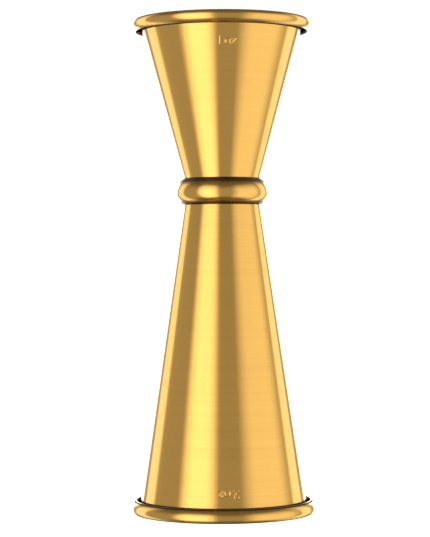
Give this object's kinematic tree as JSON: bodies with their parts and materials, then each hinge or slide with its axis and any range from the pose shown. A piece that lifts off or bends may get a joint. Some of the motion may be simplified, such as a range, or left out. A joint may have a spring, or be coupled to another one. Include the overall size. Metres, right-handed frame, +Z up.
{
  "type": "bar jigger",
  "caption": "Double-ended spirit measure: two brushed gold-finish conical cups joined floor to floor by a rounded collar.",
  "frame": {"origin": "centre of the large cup's rim plane, on the surface the jigger stands on", "axes": "+Z up along the common axis of both cups, from the large cup to the small one"},
  "size_m": [0.0472, 0.0472, 0.1255],
  "materials": {
    "small_cup": "stainless steel, brushed round the axis, gold plated",
    "large_cup": "stainless steel, brushed round the axis, gold plated",
    "waist_collar": "stainless steel, turned, gold plated",
    "floor_weld": "bare stainless weld metal"
  },
  "bodies": {
    "root": {"small_cup": "small_cup", "large_cup": "large_cup", "waist_collar": "waist_collar", "floor_weld": "floor_weld"}
  },
  "joints": []
}
